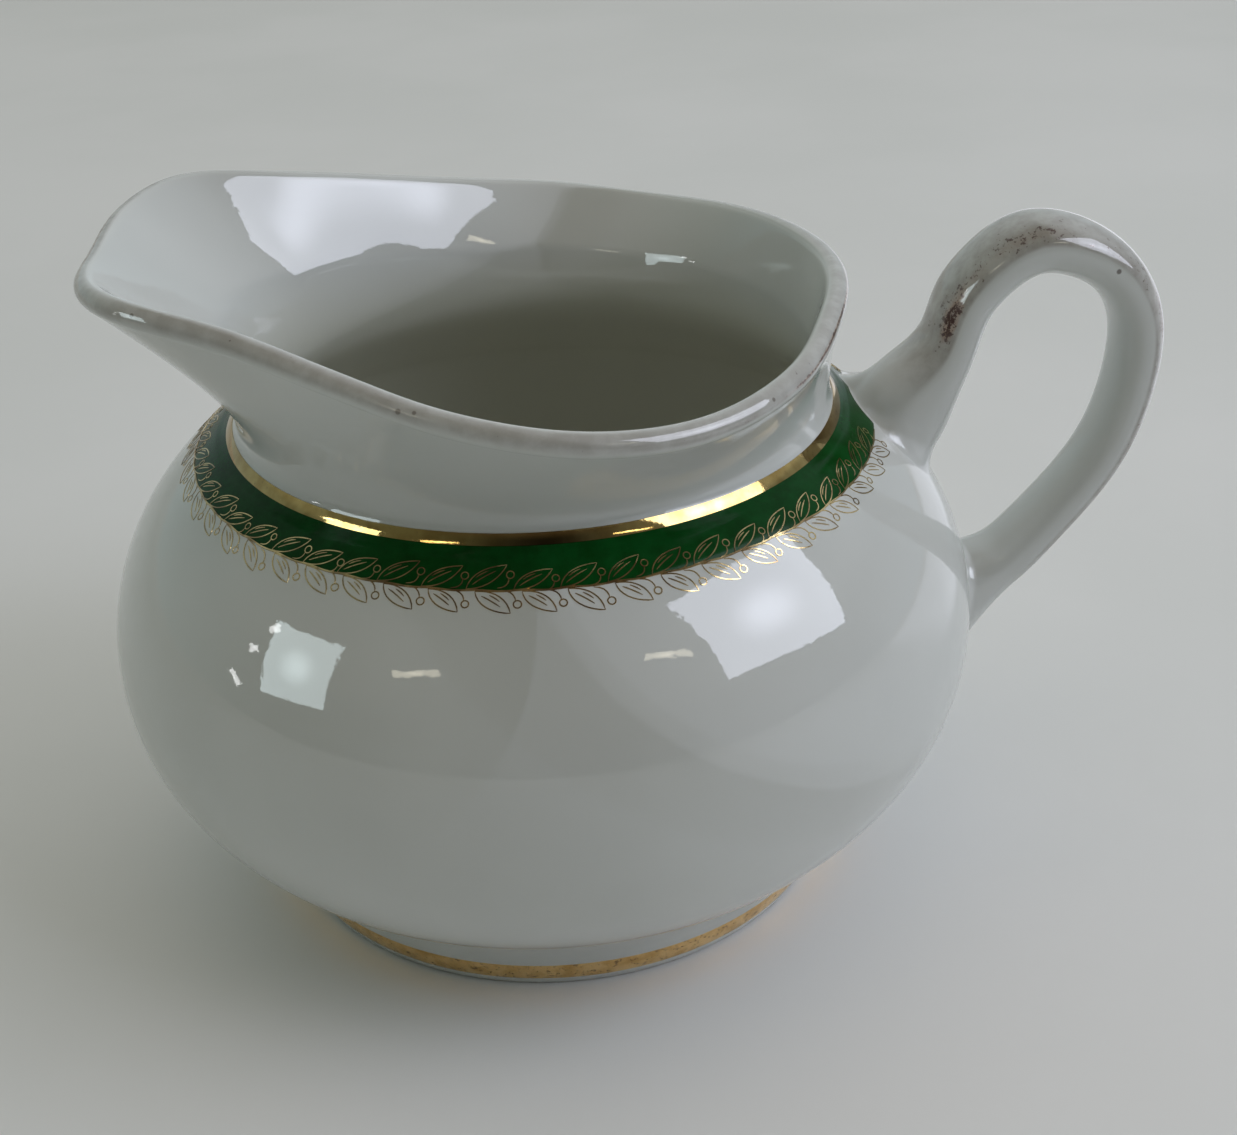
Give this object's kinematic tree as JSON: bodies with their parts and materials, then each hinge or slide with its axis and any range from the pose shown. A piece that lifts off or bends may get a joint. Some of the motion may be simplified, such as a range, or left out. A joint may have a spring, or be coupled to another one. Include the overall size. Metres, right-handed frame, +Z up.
{
  "type": "cream jug",
  "caption": "Squat round porcelain cream jug with a broad pulled spout, a loop handle, a low foot ring, a green band and a gold leaf wreath.",
  "frame": {"origin": "on the table, under the middle of the jug's overall length and width, handle included", "axes": "+X from the spout towards the handle, +Y across the jug, +Z up; the turned axis of the belly is parallel to Z at x = -0.0104 m, y = 0"},
  "size_m": [0.1158, 0.0948, 0.0746],
  "materials": {
    "porcelain": "clear glossy glaze over white porcelain, with the foot's standing face left unglazed",
    "fired_slip": "white porcelain slip, glazed over",
    "green_enamel": "dark bottle green on-glaze enamel, glossy",
    "bright_gold": "thin fired-on bright gold, mirror-like, lightly rubbed",
    "worn_gold": "remains of fired-on gold, rubbed to brown traces"
  },
  "bodies": {
    "root": {"jug_body": "porcelain", "handle": "porcelain", "upper_handle_slip": "fired_slip", "lower_handle_slip": "fired_slip", "green_enamel_band": "green_enamel", "gilt_neck_line": "bright_gold", "gilt_leaf_wreath": "bright_gold", "gilt_foot_line": "bright_gold", "gilt_rim_line": "worn_gold", "gilt_handle_stroke": "worn_gold"}
  },
  "joints": []
}
